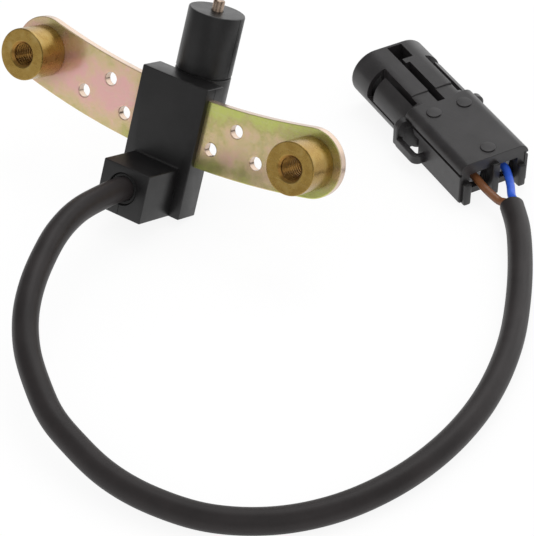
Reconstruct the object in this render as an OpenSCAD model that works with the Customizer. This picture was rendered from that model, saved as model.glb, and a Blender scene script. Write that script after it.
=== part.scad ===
// Crankshaft position sensor with bracket, loop cable and two-way connector.
// The sensor leans back on the lower rear edge of its body while the cable
// and the connector lie on the floor. Sizes are in millimetres.

/* [Bracket] */
// Distance between the two threaded bushes
bush_pitch = 87; // [70:0.5:110]
// Width of the curved strip
strip_w = 18.6; // [15:0.1:22]
// Thickness of the strip
strip_t = 2.5; // [1.5:0.1:4]
// Radius of the strip's centre line
strip_r = 203; // [150:1:400]
// Diameter of the six small holes
hole_d = 3.6; // [2:0.1:4.5]
// Sideways place of the inner lower holes
hole_in_x = 14.2; // [13.5:0.1:15]
// Sideways place of the upper holes
hole_up_x = 20.6; // [19:0.1:22]
// Sideways place of the outer lower holes
hole_out_x = 28.2; // [26:0.1:30]

/* [Bushes] */
// Outer diameter of a bush
bush_d = 14; // [11:0.1:17]
// Length of a bush in front of the strip
bush_l = 9.8; // [6:0.1:14]
// Diameter of the spigot riveted into the strip
spigot_d = 10; // [8.5:0.1:10.8]
// Bore of the threaded hole
thread_bore = 6; // [4:0.1:7]
// Mouth diameter of the thread's lead-in
thread_mouth = 7.4; // [7.1:0.1:9]

/* [Body] */
// Width of the moulded body
body_w = 21; // [18:0.1:24]
// Depth of the body in front of the strip
body_front = 1.8; // [1.2:0.1:3]
// Depth of the body behind the strip's front face
body_rear = 6.1; // [5.4:0.1:8]
// Top of the body above the bush axes
body_top = 8; // [6:0.1:10]
// Bottom of the body below the bush axes
body_low = 28.6; // [26:0.1:32]
// Width of the cable block
block_w = 14.7; // [12:0.1:17]
// Front of the cable block before the strip
block_front = 15.3; // [13:0.1:18]
// Top of the cable block below the bush axes
block_top = 15.2; // [14.6:0.1:16]
// Fillet between the block and the body
block_fillet = 1.7; // [0.8:0.1:2.5]

/* [Sensing head] */
// Diameter of the barrel
barrel_d = 15.2; // [14:0.1:17]
// Top of the barrel above the bush axes
barrel_top = 25; // [24:0.1:32]
// Barrel axis behind the strip's front face
barrel_y = 11.5; // [11:0.1:13]
// Wall of the barrel at its tip
barrel_tip = 1.8; // [1:0.1:2.2]
// Diameter of the pole pin
pin_d = 3.1; // [2:0.1:3.8]
// Length of pole pin that stands out of the tip
pin_out = 3; // [1:0.1:5]
// Gap between the coil winding and the barrel's wall
coil_gap = 0.5; // [0.3:0.1:1.2]

/* [Cable] */
// Diameter of the cable sheath
cable_d = 6.5; // [5.5:0.1:7]
// Diameter of a wire
wire_d = 2.3; // [1.6:0.1:2.6]
// Outer diameter of the sealing grommet
grommet_d = 8.4; // [7.8:0.1:9.4]

/* [Connector] */
// Length of the connector
plug_l = 55.7; // [54.8:0.1:57]
// Width of the connector body
plug_w = 21.8; // [21.4:0.1:22.4]
// Top of the connector body
plug_top = 14.2; // [13.6:0.1:14.4]
// Height of the shroud
shroud_h = 14.6; // [14:0.1:15.4]
// Width of the shroud
shroud_w = 23.9; // [23.4:0.1:24.4]
// Wall of the shroud
shroud_t = 1.5; // [1.2:0.1:1.8]
// Distance between the two contacts
way_pitch = 9.2; // [8.8:0.1:9.6]
// Diameter of a contact pin
contact_d = 2.4; // [1.8:0.1:2.6]

/* [Hidden] */
$fn = 64;
eps = 0.02;

// Lean of the sensor on the floor, and the shift that centres it there.
lean = 20;
seat_front = -block_front*cos(lean) - body_low*sin(lean);
seat_rear = (barrel_y + barrel_d/2)*cos(lean) + barrel_top*sin(lean);
seat_y = -(seat_front + seat_rear)/2;
seat_z = body_low*cos(lean) + body_rear*sin(lean);

// Bracket and its bushes.
bush_x = bush_pitch/2;
arc_z = sqrt(strip_r*strip_r - bush_x*bush_x);
hole_in_z = -7.4;
hole_up_z = 0;
hole_out_z = -6;
bush_chamfer = 0.6;
rivet_d = spigot_d + 1.4;
rivet_t = 0.5;

// Barrel, with the coil assembly that slides into it from below.
spigot_in_d = barrel_d - 2.2;
barrel_bore = spigot_in_d - 1.6;
barrel_low = -4;
column_low = -9;
seam_h = 0.6;
seam_cut = 0.5;
bobbin_d = barrel_bore - 0.2;
coil_d = barrel_bore - 2*coil_gap;
bobbin_top = barrel_top - barrel_tip;
bobbin_core = 5;
flange_t = 1.4;
coil_low = 6;
magnet_d = 8;
magnet_top = coil_low - flange_t;

// Coil leads, one strip each, from the bobbin down to the cable.
lead_w = 1.2;
lead_t = 0.8;
lead_x = 2;
lead_y = barrel_y - magnet_d/2 - 0.4;
lead_step_z = -7;
lead_run_y = strip_t + 2.2;

// Cable: where it enters the block and the way it lies.
cable_z = -21.3;
cable_in_y = -4.5;
grommet_l = 3.6;
grommet_back = 0.4;
sheath_sides = 12;
wire_sides = 8;

// Connector placing and inner sizes. X runs to its nose, Z is up.
plug_x = 68.98;
plug_y = 51.64;
plug_z = -0.36;
plug_yaw = 153.8;
plug_pitch = 3;
plug_roll = -3.2;
body_l = 28.4;
hollow_from = 31.4;
body_floor = 1.5;
edge_r = 3;
way_z = 7;
way_d = 6.4;
pocket_l = 3.2;
gate_l = 2.2;
gate_w = 19.8;
gate_top = 11.8;
pin_tip = 46.5;
seal_l = 5;
way_end = body_l - 10;
crimp_r = 1.8;
window_from = 29.4;
window_to = 44.2;
window_gap = 2.8;
notch_from = 48.2;
notch_y = -1.1;
notch_w = 4.6;
notch_deep = 2.3;
slot_from = 27.4;
slot_to = 46.2;
slot_w = 2.4;
slot_floor = 9.8;
beam_w = 7.2;
rail_y = 7;
rail_t = 1.2;
disc_at = [[23.5, 4.9], [23.5, -4.9], [3.8, 0]];
disc_d = 4.2;
disc_h = 0.35;
recess_from = 21;
recess_y = 6.6;
recess_top = 8.8;
ear_from = 27.1;

// A point of the leaning sensor, and one of the connector, in the room.
function sensor_at(p) = [p[0], seat_y + p[1]*cos(lean) + p[2]*sin(lean),
    seat_z - p[1]*sin(lean) + p[2]*cos(lean)];
function rolled(p) = [p[0], p[1]*cos(plug_roll) - p[2]*sin(plug_roll),
    p[1]*sin(plug_roll) + p[2]*cos(plug_roll)];
function pitched(p) = [p[0]*cos(plug_pitch) - p[2]*sin(plug_pitch), p[1],
    p[0]*sin(plug_pitch) + p[2]*cos(plug_pitch)];
function turned(p) = [p[0]*cos(plug_yaw) - p[1]*sin(plug_yaw),
    p[0]*sin(plug_yaw) + p[1]*cos(plug_yaw), p[2]];
function plug_at(p) = [plug_x, plug_y, plug_z] + turned(pitched(rolled(p)));
plug_dir = turned(pitched([1, 0, 0]));

// Way of the cable from the block, round one loop, to the wires.
cable_way = concat(
    [sensor_at([0, cable_in_y, cable_z]), sensor_at([0, -block_front - 1, cable_z])],
    [[0, -31, 16.4], [0.5, -41, 18.3], [2, -50, 18.8], [4.5, -58.5, 18.3],
    [9, -69.5, 17], [14.5, -79, 15.2], [21.5, -87, 13], [30, -93.5, 10.8],
    [38.5, -98.5, 8.9], [48, -101.5, 7.3], [57, -103.3, 5.9], [65.5, -103.5, 4.9],
    [74, -102.3, 4.2], [82, -100, 3.7], [89, -96.3, 3.4], [95.5, -91.3, 3.3],
    [101, -85.3, 3.3], [105.7, -78, 3.3], [109.3, -69.8, 3.3], [112, -60.5, 3.3],
    [113.6, -50.3, 3.3], [114, -39.3, 3.3], [113, -27.4, 3.3], [110.3, -14.7, 3.3],
    [106, -1.6, 3.3], [100, 11.7, 3.4], [93, 24.8, 3.8], [85.5, 36.6, 4.6],
    [79.2, 44, 5.2]]);
cable_end = cable_way[len(cable_way) - 1];
cable_dir = unit(cable_end - cable_way[len(cable_way) - 2]);
end_side = unit(cross(cable_dir, [0, 0, 1]));

// The two wires fan out of the sheath to the connector's ways.
brown_way = [cable_end - end_side*1.35, cable_end - end_side*1.45 + cable_dir*1.5,
    plug_at([-8.2, 3.4, 5.7]), plug_at([-4.4, 4.2, 6.2]), plug_at([-1, 4.55, 6.7]),
    plug_at([1.2, way_pitch/2, way_z]), plug_at([pocket_l, way_pitch/2, way_z])];
blue_way = [cable_end + end_side*1.35, cable_end + end_side*1.45 + cable_dir*1.5,
    plug_at([-8.2, -1.5, 5.7]), plug_at([-4.4, -3.5, 6.2]), plug_at([-1, -4.45, 6.7]),
    plug_at([1.2, -way_pitch/2, way_z]), plug_at([pocket_l, -way_pitch/2, way_z])];

// Sweep of a round section along a list of points.
function unit(v) = v/norm(v);
function heading(way, i, first, last) = i == 0 ? first : i == len(way) - 1 ? last
    : unit(unit(way[i + 1] - way[i]) + unit(way[i] - way[i - 1]));
function ring(p, t, r, n) = let (s = unit(cross(t, [0, 0, 1])), u = cross(s, t))
    [for (k = [0:n - 1]) p + s*r*cos(360*k/n) + u*r*sin(360*k/n)];

module tube(way, first, last, r, n) {
    m = len(way);
    points = [for (i = [0:m - 1]) each ring(way[i], heading(way, i, first, last), r, n)];
    sides = [for (i = [0:m - 2]) for (k = [0:n - 1])
        [i*n + k, i*n + (k + 1)%n, (i + 1)*n + (k + 1)%n, (i + 1)*n + k]];
    start = [for (k = [0:n - 1]) n - 1 - k];
    end = [for (k = [0:n - 1]) (m - 1)*n + k];
    polyhedron(points, concat([start], sides, [end]));
}

module on_sensor() {
    translate([0, seat_y, seat_z])
        rotate([-lean, 0, 0])
            children();
}

module on_plug() {
    translate([plug_x, plug_y, plug_z])
        rotate([plug_roll, -plug_pitch, plug_yaw])
            children();
}

// Turns a flat outline so that it stands in the bracket's plane.
module upright(y, depth) {
    translate([0, y + depth, 0])
        rotate([90, 0, 0])
            linear_extrude(depth)
                children();
}

module along_y(x, z, from, to, d) {
    translate([x, from, z])
        rotate([-90, 0, 0])
            cylinder(h = to - from, d = d);
}

module along_x(from, to, y, z, d) {
    translate([from, y, z])
        rotate([0, 90, 0])
            cylinder(h = to - from, d = d);
}

// Curved strip with round ends, without its holes.
module strip_outline() {
    intersection() {
        difference() {
            translate([0, arc_z])
                circle(strip_r + strip_w/2, $fn = 180);
            translate([0, arc_z])
                circle(strip_r - strip_w/2, $fn = 180);
        }
        polygon([[0, arc_z], [-bush_x*1.2, arc_z - arc_z*1.2], [bush_x*1.2, arc_z - arc_z*1.2]]);
    }
    translate([-bush_x, 0])
        circle(d = strip_w);
    translate([bush_x, 0])
        circle(d = strip_w);
}

module bracket() {
    color("#c3b27a")
        on_sensor()
            upright(0, strip_t)
                difference() {
                    strip_outline();
                    for (side = [-1, 1]) {
                        translate([side*bush_x, 0])
                            circle(d = spigot_d);
                        translate([side*hole_in_x, hole_in_z])
                            circle(d = hole_d);
                        translate([side*hole_up_x, hole_up_z])
                            circle(d = hole_d);
                        translate([side*hole_out_x, hole_out_z])
                            circle(d = hole_d);
                    }
                }
}

// Turned bush: threaded bore, lead-in, spigot through the strip, riveted lip.
module bush(x) {
    mouth = (thread_mouth - thread_bore)/2;
    color("#a8883f")
        on_sensor()
            translate([x, strip_t + rivet_t, 0])
                rotate([90, 0, 0])
                    rotate_extrude()
                        polygon([[thread_bore/2, 0], [rivet_d/2, 0], [rivet_d/2, rivet_t],
                            [spigot_d/2, rivet_t], [spigot_d/2, rivet_t + strip_t],
                            [bush_d/2, rivet_t + strip_t],
                            [bush_d/2, rivet_t + strip_t + bush_l - bush_chamfer],
                            [bush_d/2 - bush_chamfer, rivet_t + strip_t + bush_l],
                            [thread_mouth/2, rivet_t + strip_t + bush_l],
                            [thread_bore/2, rivet_t + strip_t + bush_l - mouth]]);
}

module left_bush() {
    bush(-bush_x);
}

module right_bush() {
    bush(bush_x);
}

// Side view of one coil lead, in the plane across the bracket.
module lead_outline() {
    polygon([[lead_y, barrel_low], [lead_y, lead_step_z], [lead_run_y, lead_step_z],
        [lead_run_y, cable_z - lead_t/2], [cable_in_y, cable_z - lead_t/2],
        [cable_in_y, cable_z + lead_t/2], [lead_run_y - lead_t, cable_z + lead_t/2],
        [lead_run_y - lead_t, lead_step_z + lead_t], [lead_y - lead_t, lead_step_z + lead_t],
        [lead_y - lead_t, barrel_low]]);
}

module lead_solid(x) {
    translate([x - lead_w/2, 0, 0])
        rotate([90, 0, 90])
            linear_extrude(lead_w)
                lead_outline();
}

// One black moulding round the strip, the barrel's spigot, leads and cable.
module body() {
    color("#2b292a")
        on_sensor()
            difference() {
                union() {
                    translate([-body_w/2, -body_front, -body_low])
                        cube([body_w, body_front + body_rear, body_low + body_top]);
                    translate([0, barrel_y, column_low])
                        cylinder(h = body_top - column_low, d = barrel_d);
                    translate([-block_w/2, -block_front, -body_low])
                        cube([block_w, block_front, body_low - block_top]);
                    translate([-block_w/2, 0, 0])
                        rotate([90, 0, 90])
                            linear_extrude(block_w)
                                difference() {
                                    translate([-body_front - block_fillet, -block_top - eps])
                                        square([block_fillet + eps, block_fillet + eps]);
                                    translate([-body_front - block_fillet, -block_top + block_fillet])
                                        circle(block_fillet);
                                }
                }
                upright(0, strip_t)
                    strip_outline();
                translate([0, barrel_y, barrel_low])
                    cylinder(h = body_top - barrel_low + 1, d = spigot_in_d);
                lead_solid(-lead_x);
                lead_solid(lead_x);
                along_y(0, cable_z, -block_front - 1, cable_in_y, cable_d);
                along_y(0, cable_z, -block_front - 1, -block_front + grommet_back + grommet_l, grommet_d);
            }
}

// Closed tube over the coil, with a seam where it meets the body.
module barrel() {
    color("#333133")
        on_sensor()
            translate([0, barrel_y, 0])
                difference() {
                    union() {
                        translate([0, 0, barrel_low])
                            cylinder(h = barrel_top - barrel_low - 1, d = spigot_in_d);
                        translate([0, 0, body_top])
                            cylinder(h = seam_h, d = barrel_d - 2*seam_cut);
                        translate([0, 0, body_top + seam_h])
                            cylinder(h = barrel_top - body_top - seam_h, d = barrel_d);
                    }
                    translate([0, 0, barrel_low - 1])
                        cylinder(h = bobbin_top - barrel_low + 1, d = barrel_bore);
                    translate([0, 0, bobbin_top - 1])
                        cylinder(h = barrel_tip + 2, d = pin_d);
                }
}

module pole_pin() {
    tip = 0.4;
    color("#b8a596")
        on_sensor()
            translate([0, barrel_y, 0])
                rotate_extrude()
                    polygon([[0, magnet_top], [pin_d/2, magnet_top],
                        [pin_d/2, barrel_top + pin_out - tip],
                        [pin_d/2 - tip, barrel_top + pin_out], [0, barrel_top + pin_out]]);
}

// Spool for the coil, with a cup for the magnet at its lower end.
module bobbin() {
    color("#d8d2c0")
        on_sensor()
            translate([0, barrel_y, 0])
                rotate_extrude()
                    polygon([[magnet_d/2, barrel_low], [bobbin_d/2, barrel_low],
                        [bobbin_d/2, coil_low], [bobbin_core/2, coil_low],
                        [bobbin_core/2, bobbin_top - flange_t], [bobbin_d/2, bobbin_top - flange_t],
                        [bobbin_d/2, bobbin_top], [pin_d/2, bobbin_top],
                        [pin_d/2, magnet_top], [magnet_d/2, magnet_top]]);
}

module coil() {
    color("#9a4f22")
        on_sensor()
            translate([0, barrel_y, coil_low])
                difference() {
                    cylinder(h = bobbin_top - flange_t - coil_low, d = coil_d);
                    translate([0, 0, -1])
                        cylinder(h = bobbin_top - coil_low + 2, d = bobbin_core);
                }
}

module magnet() {
    color("#55575c")
        on_sensor()
            translate([0, barrel_y, barrel_low])
                cylinder(h = magnet_top - barrel_low, d = magnet_d);
}

module left_lead() {
    color("#c8b06a")
        on_sensor()
            lead_solid(-lead_x);
}

module right_lead() {
    color("#c8b06a")
        on_sensor()
            lead_solid(lead_x);
}

module grommet() {
    from = -block_front + grommet_back;
    color("#1b1a1a")
        on_sensor()
            difference() {
                along_y(0, cable_z, from, from + grommet_l, grommet_d);
                along_y(0, cable_z, from - 1, from + grommet_l + 1, cable_d);
            }
}

module cable() {
    color("#2a2525")
        tube(cable_way, unit(cable_way[1] - cable_way[0]), cable_dir, cable_d/2, sheath_sides);
}

module brown_wire() {
    color("#6b4026")
        tube(brown_way, cable_dir, plug_dir, wire_d/2, wire_sides);
}

module blue_wire() {
    color("#2f56c8")
        tube(blue_way, cable_dir, plug_dir, wire_d/2, wire_sides);
}

// Long rounded section lying along the connector.
module obround(from, to, w, h, z) {
    along_x(from, to, -(w - h)/2, z, h);
    along_x(from, to, (w - h)/2, z, h);
    translate([from, -(w - h)/2, z - h/2])
        cube([to - from, w - h, h]);
}

// Connector body block with its two upper long edges rounded.
module plug_block() {
    translate([0, -plug_w/2, body_floor])
        cube([body_l, plug_w, plug_top - edge_r - body_floor]);
    translate([0, -plug_w/2 + edge_r, body_floor])
        cube([body_l, plug_w - 2*edge_r, plug_top - body_floor]);
    for (side = [-1, 1])
        along_x(0, body_l, side*(plug_w/2 - edge_r), plug_top - edge_r, 2*edge_r);
}

// Side loop for the mating half's latch: a flat strap with an ear at its front.
module latch_loop(side) {
    rear = 17.6;
    out = 3.35;
    ear = concat([[-0.3, 0], [out, 0]], [for (a = [0:15:90]) [out - 2.5 + 2.5*cos(a), 5.7 + 2.5*sin(a)]],
        [[-0.3, 8.2]]);
    translate([rear, side > 0 ? plug_w/2 - 0.3 : -plug_w/2 - out, 3])
        difference() {
            cube([ear_from + 2.2 - rear, out + 0.3, 2.9]);
            translate([1.3, side > 0 ? -1 : out - 1.8, -1])
                cube([ear_from - rear - 1.3, 3.1, 5]);
        }
    translate([ear_from, 0, 3])
        rotate([90, 0, 90])
            linear_extrude(height = 2.2)
                polygon([for (p = ear) [side*(plug_w/2 + p[0]), p[1]]]);
}

// Room behind a latch loop: a deep recess under the roof, and a scoop above it.
module latch_room(side) {
    translate([recess_from, side > 0 ? recess_y : -plug_w, -1])
        cube([ear_from - recess_from, plug_w - recess_y, recess_top + 1]);
    translate([0, side > 0 ? plug_w : -plug_w/2 + 1.2, 0])
        rotate([90, 0, 0])
            linear_extrude(height = plug_w/2 + 1.2)
                polygon([[23.2, recess_top - 0.1], [24.8, 11.6], [ear_from, 11.6], [ear_from, recess_top - 0.1]]);
}

// Shroud with the walls inside it: a beam that carries the key slot, and a rail
// behind each spring tongue.
module shroud() {
    inner_w = shroud_w - 2*shroud_t;
    inner_h = shroud_h - 2*shroud_t;
    rail_low = shroud_t + 0.2;
    difference() {
        obround(body_l - 6, plug_l, shroud_w, shroud_h, shroud_h/2);
        obround(hollow_from, plug_l + 1, inner_w, inner_h, shroud_h/2);
    }
    translate([hollow_from - eps, -beam_w/2, slot_floor - 1.2])
        cube([plug_l - hollow_from + eps, beam_w, shroud_h - shroud_t - slot_floor + 1.5]);
    for (side = [-1, 1])
        translate([hollow_from - eps, side*rail_y - rail_t/2, rail_low])
            cube([plug_l - 2.3 - hollow_from, rail_t, shroud_h - 2*rail_low]);
}

module connector() {
    color("#3c3a3d")
        on_plug()
            union() {
                latch_loop(1);
                latch_loop(-1);
                difference() {
                    union() {
                        plug_block();
                        shroud();
                        for (at = disc_at)
                            translate([at[0], at[1], plug_top - 1])
                                cylinder(h = 1 + disc_h, d = disc_d);
                    }
                    latch_room(1);
                    latch_room(-1);
                    // key slot in the top, and the pocket in front of it
                    translate([slot_from, -slot_w/2, slot_floor])
                        cube([slot_to - slot_from, slot_w, 6]);
                    translate([slot_to - eps, 0.1, 11.4])
                        cube([notch_from - slot_to + 2*eps, 1, 4]);
                    translate([notch_from, notch_y - notch_w/2, shroud_h - notch_deep])
                        cube([plug_l - 1 - notch_from, notch_w, 4]);
                    for (side = [-1, 1]) {
                        // slits that free the spring tongue in each round side
                        translate([window_from, side*6.95 - 0.45, 10.4])
                            cube([window_to - window_from + window_gap, 0.9, 5]);
                        translate([window_to, side > 0 ? rail_y + rail_t/2 : -plug_w, 6.4])
                            cube([window_gap, plug_w - rail_y - rail_t/2, 9]);
                        translate([window_from, side > 0 ? 8 : -plug_w, 5.4])
                            cube([window_to - window_from + window_gap, plug_w - 8, 1]);
                        // long groove under the rounded upper edge
                        translate([-1, side*plug_w/2 - 0.5, plug_top - edge_r - 0.7])
                            cube([body_l - 2, 1, 0.9]);
                        // way for one contact with its seal
                        along_x(pocket_l - eps, way_end, side*way_pitch/2, way_z, way_d);
                        along_x(way_end - 1, hollow_from + 1, side*way_pitch/2, way_z, contact_d);
                        translate([gate_l - eps, side > 0 ? 1.3 : -8.4, 3.4])
                            cube([pocket_l - gate_l + eps, 7.1, 8]);
                    }
                    translate([-1, -gate_w/2, 0])
                        cube([gate_l + 1, gate_w, gate_top]);
                }
            }
}

// Comb that closes over the rear of the ways and holds the contacts in.
module rear_lock() {
    prong = 2.3;
    color("#343235")
        on_plug()
            union() {
                translate([0.2, -gate_w/2, gate_top - 1.6])
                    cube([gate_l - 0.2, gate_w, 1.6]);
                translate([-1.4, -1.1, 1.6])
                    cube([gate_l + 1.4, 2.2, gate_top - 1.6]);
                for (y = [-gate_w/2, gate_w/2 - prong]) {
                    translate([-1.4, y, 1])
                        cube([gate_l + 1.4, prong, 7.2]);
                    translate([0.2, y, 8])
                        cube([gate_l - 0.2, prong, gate_top - 8]);
                }
            }
}

// Turned contact: crimp barrel in the way, pin standing in the shroud.
module contact(y) {
    color("#b9b4a6")
        on_plug()
            translate([0, y, way_z])
                rotate([0, 90, 0])
                    rotate_extrude()
                        polygon([[0, pocket_l + seal_l], [crimp_r, pocket_l + seal_l], [crimp_r, way_end - 1],
                            [contact_d/2, way_end - 1], [contact_d/2, pin_tip - 1], [0.5, pin_tip], [0, pin_tip]]);
}

module brown_contact() {
    contact(way_pitch/2);
}

module blue_contact() {
    contact(-way_pitch/2);
}

// Ribbed sleeve that seals a wire in its way.
module seal(y) {
    rib = way_d/2;
    root = rib - 0.5;
    color("#8d8f93")
        on_plug()
            translate([0, y, way_z])
                rotate([0, 90, 0])
                    rotate_extrude()
                        polygon([[0, pocket_l], [root, pocket_l], [rib, pocket_l + 0.7],
                            [root, pocket_l + 1.5], [rib, pocket_l + 2.5], [root, pocket_l + 3.4],
                            [rib, pocket_l + 4.3], [root, pocket_l + seal_l], [0, pocket_l + seal_l]]);
}

module brown_seal() {
    seal(way_pitch/2);
}

module blue_seal() {
    seal(-way_pitch/2);
}

bracket();
left_bush();
right_bush();
body();
barrel();
pole_pin();
bobbin();
coil();
magnet();
left_lead();
right_lead();
grommet();
cable();
brown_wire();
blue_wire();
connector();
rear_lock();
brown_contact();
blue_contact();
brown_seal();
blue_seal();
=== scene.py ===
import math

import bmesh
import bpy
from mathutils import Matrix, Vector


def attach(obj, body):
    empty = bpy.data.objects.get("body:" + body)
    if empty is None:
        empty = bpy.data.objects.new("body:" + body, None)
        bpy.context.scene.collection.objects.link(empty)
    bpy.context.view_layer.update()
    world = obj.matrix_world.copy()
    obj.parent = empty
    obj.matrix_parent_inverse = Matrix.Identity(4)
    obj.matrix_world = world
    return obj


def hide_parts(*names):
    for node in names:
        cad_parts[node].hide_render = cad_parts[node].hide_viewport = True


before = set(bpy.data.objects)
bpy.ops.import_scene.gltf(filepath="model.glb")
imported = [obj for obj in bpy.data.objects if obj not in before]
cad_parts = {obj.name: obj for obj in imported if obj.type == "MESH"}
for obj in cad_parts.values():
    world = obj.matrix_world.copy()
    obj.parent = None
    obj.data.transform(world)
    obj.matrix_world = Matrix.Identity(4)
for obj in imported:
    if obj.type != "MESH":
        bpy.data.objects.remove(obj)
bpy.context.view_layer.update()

# White table under the soft light of a small studio. The camera stands to
# the right of the sensor and looks down on it through a long lens.
scene = bpy.context.scene
scene.view_settings.view_transform = "Standard"

IMAGE_SIDE = 536
FOCAL_PIXELS = 2271.5
lens = bpy.data.cameras.new("camera")
lens.sensor_width = 36
lens.lens = FOCAL_PIXELS * lens.sensor_width / IMAGE_SIDE
camera = bpy.data.objects.new("camera", lens)
scene.collection.objects.link(camera)
camera_right = Vector((0.8179, 0.5746, 0.0303))
camera_up = Vector((-0.3709, 0.4862, 0.7912))
camera_back = camera_right.cross(camera_up).normalized()
camera_up = camera_back.cross(camera_right).normalized()
turn = Matrix((camera_right.normalized(), camera_up, camera_back)).transposed().to_4x4()
camera.matrix_world = Matrix.Translation((0.2982, -0.4000, 0.3598)) @ turn
scene.camera = camera


def put(tree, kind, inputs=None, **settings):
    """A node with its settings, its plain values and its links."""
    node = tree.nodes.new(kind)
    for key, value in settings.items():
        setattr(node, key, value)
    for key, value in (inputs or {}).items():
        if isinstance(value, bpy.types.NodeSocket):
            tree.links.new(value, node.inputs[key])
        else:
            node.inputs[key].default_value = value
    return node


def reckon(tree, operation, *values):
    """A number worked out from sockets or plain numbers."""
    return put(tree, "ShaderNodeMath", dict(enumerate(values)), operation=operation).outputs[0]


def eased(tree, value, low, high, start=0.0, end=1.0, kind="LINEAR"):
    """A value taken from one range to another and held at its ends."""
    return put(tree, "ShaderNodeMapRange", {"Value": value, "From Min": low, "From Max": high,
               "To Min": start, "To Max": end}, interpolation_type=kind).outputs[0]


def along(tree, vector, direction):
    """How far a vector points in one direction."""
    return put(tree, "ShaderNodeVectorMath", {0: vector, 1: direction}, operation="DOT_PRODUCT").outputs["Value"]


def by_ray(tree, scattered, mirrored, seen):
    """One value for scattered light, one for mirrors and glass, one for the camera."""
    path = put(tree, "ShaderNodeLightPath").outputs
    shine = reckon(tree, "MAXIMUM", path["Is Glossy Ray"], path["Is Transmission Ray"])
    value = put(tree, "ShaderNodeMix", {0: shine, 2: scattered, 3: mirrored}, data_type="FLOAT")
    return put(tree, "ShaderNodeMix", {0: path["Is Camera Ray"], 2: value.outputs[0], 3: seen},
               data_type="FLOAT").outputs[0]


# Scattered light is even all round. Mirrors see a bright backdrop behind the
# sensor, a dim room in front, and a soft panel at the front left.
ROOM_LIGHT, MIRROR_DIM, MIRROR_BRIGHT, PANEL_LIGHT = 1.0, 0.24, 1.55, 0.4
BACKDROP_SIDE, PANEL_SIDE = (0.0, 0.995, 0.1), (-0.44, -0.898, 0.0)
studio = bpy.data.worlds.new("studio")
studio.use_nodes = True
scene.world = studio
air = studio.node_tree
air.nodes.clear()
outward = put(air, "ShaderNodeNewGeometry").outputs["Position"]
backdrop = eased(air, along(air, outward, BACKDROP_SIDE), 0.57, 0.95, MIRROR_DIM, MIRROR_BRIGHT, "SMOOTHSTEP")
panel = eased(air, along(air, outward, PANEL_SIDE), 0.82, 0.97, 0.0, PANEL_LIGHT, "SMOOTHSTEP")
room = put(air, "ShaderNodeBackground", {"Color": (1, 1, 1, 1),
           "Strength": by_ray(air, ROOM_LIGHT, reckon(air, "ADD", backdrop, panel), 1.0)})
put(air, "ShaderNodeOutputWorld", {"Surface": room.outputs[0]})

for name, place, aim, size, power in (
        ("soft_box", (-0.05, 0.34, 0.86), (0.03, 0.0, 0.0), 0.6, 2.0),
        ("fill_box", (0.60, -0.50, 0.60), (0.03, 0.0, 0.0), 0.8, 1.0)):
    lamp_data = bpy.data.lights.new(name, "AREA")
    lamp_data.energy = power
    lamp_data.size = size
    lamp = bpy.data.objects.new(name, lamp_data)
    lamp.location = place
    lamp.rotation_euler = (Vector(aim) - Vector(place)).to_track_quat("-Z", "Y").to_euler()
    scene.collection.objects.link(lamp)

TABLE_HALF, TABLE_TOP, CARD_GLOW = 6, -2e-4, 0.88
table_mesh = bpy.data.meshes.new("table")
table_mesh.from_pydata([(x * TABLE_HALF, y * TABLE_HALF, TABLE_TOP)
                        for x, y in ((-1, -1), (1, -1), (1, 1), (-1, 1))], [], [(0, 1, 2, 3)])
table = bpy.data.objects.new("table", table_mesh)
scene.collection.objects.link(table)
white_card = bpy.data.materials.new("white_card")
white_card.use_nodes = True
card = white_card.node_tree
card.nodes.clear()
lit = put(card, "ShaderNodeBsdfDiffuse", {"Color": (0.9, 0.9, 0.9, 1)})
reach = put(card, "ShaderNodeSeparateXYZ", {0: put(card, "ShaderNodeTexCoord").outputs["Object"]})
pool = eased(card, reach.outputs["Y"], -0.7, -0.15, 0.6, 1.0, "SMOOTHSTEP")
glow = put(card, "ShaderNodeEmission", {"Color": (1, 1, 1, 1), "Strength": by_ray(card, 1.0, pool, 1.0)})
both = put(card, "ShaderNodeMixShader", {0: by_ray(card, 0.0, CARD_GLOW, CARD_GLOW),
           1: lit.outputs[0], 2: glow.outputs[0]})
put(card, "ShaderNodeOutputMaterial", {"Surface": both.outputs[0]})
table_mesh.materials.append(white_card)

# Bracket: a curved strip punched from 2.5 mm steel sheet, with round ends and
# six small holes. It is zinc plated and passivated, which leaves a film that
# runs from pink through straw to green.
LEAN = 20
SENSOR = (Matrix.Translation((0, -0.00116975, 0.0289615))
          @ Matrix.Rotation(math.radians(-LEAN), 4, "X") @ Matrix.Scale(0.001, 4))
STRIP_R, STRIP_W, STRIP_T, STRIP_EDGE, BUSH_X = 203.0, 18.6, 2.5, 0.28, 43.5
STRIP_HOLES = [(14.2, -7.4, 1.8), (20.6, 0.0, 1.8), (28.2, -6.0, 1.8)]
SPIGOT_R = 5.0


def strip_outline(widen=0.0, arc_steps=48, end_steps=28):
    """The strip's outline in its own plane, in millimetres."""
    half = STRIP_W / 2 + widen
    centre = math.sqrt(STRIP_R ** 2 - BUSH_X ** 2)
    swing = math.asin(BUSH_X / STRIP_R)
    points = []
    for i in range(arc_steps):
        a = -swing + 2 * swing * i / arc_steps
        points.append(((STRIP_R + half) * math.sin(a), centre - (STRIP_R + half) * math.cos(a)))
    for i in range(end_steps):
        a = swing - math.pi / 2 + math.pi * i / end_steps
        points.append((BUSH_X + half * math.cos(a), half * math.sin(a)))
    for i in range(arc_steps):
        a = swing - 2 * swing * i / arc_steps
        points.append(((STRIP_R - half) * math.sin(a), centre - (STRIP_R - half) * math.cos(a)))
    for i in range(end_steps):
        a = math.pi / 2 - swing + math.pi * i / end_steps
        points.append((-BUSH_X + half * math.cos(a), half * math.sin(a)))
    return points


def ring_points(x, y, radius, steps=40):
    """The outline of a round hole."""
    return [(x + radius * math.cos(2 * math.pi * i / steps),
             y + radius * math.sin(2 * math.pi * i / steps)) for i in range(steps)]


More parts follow.
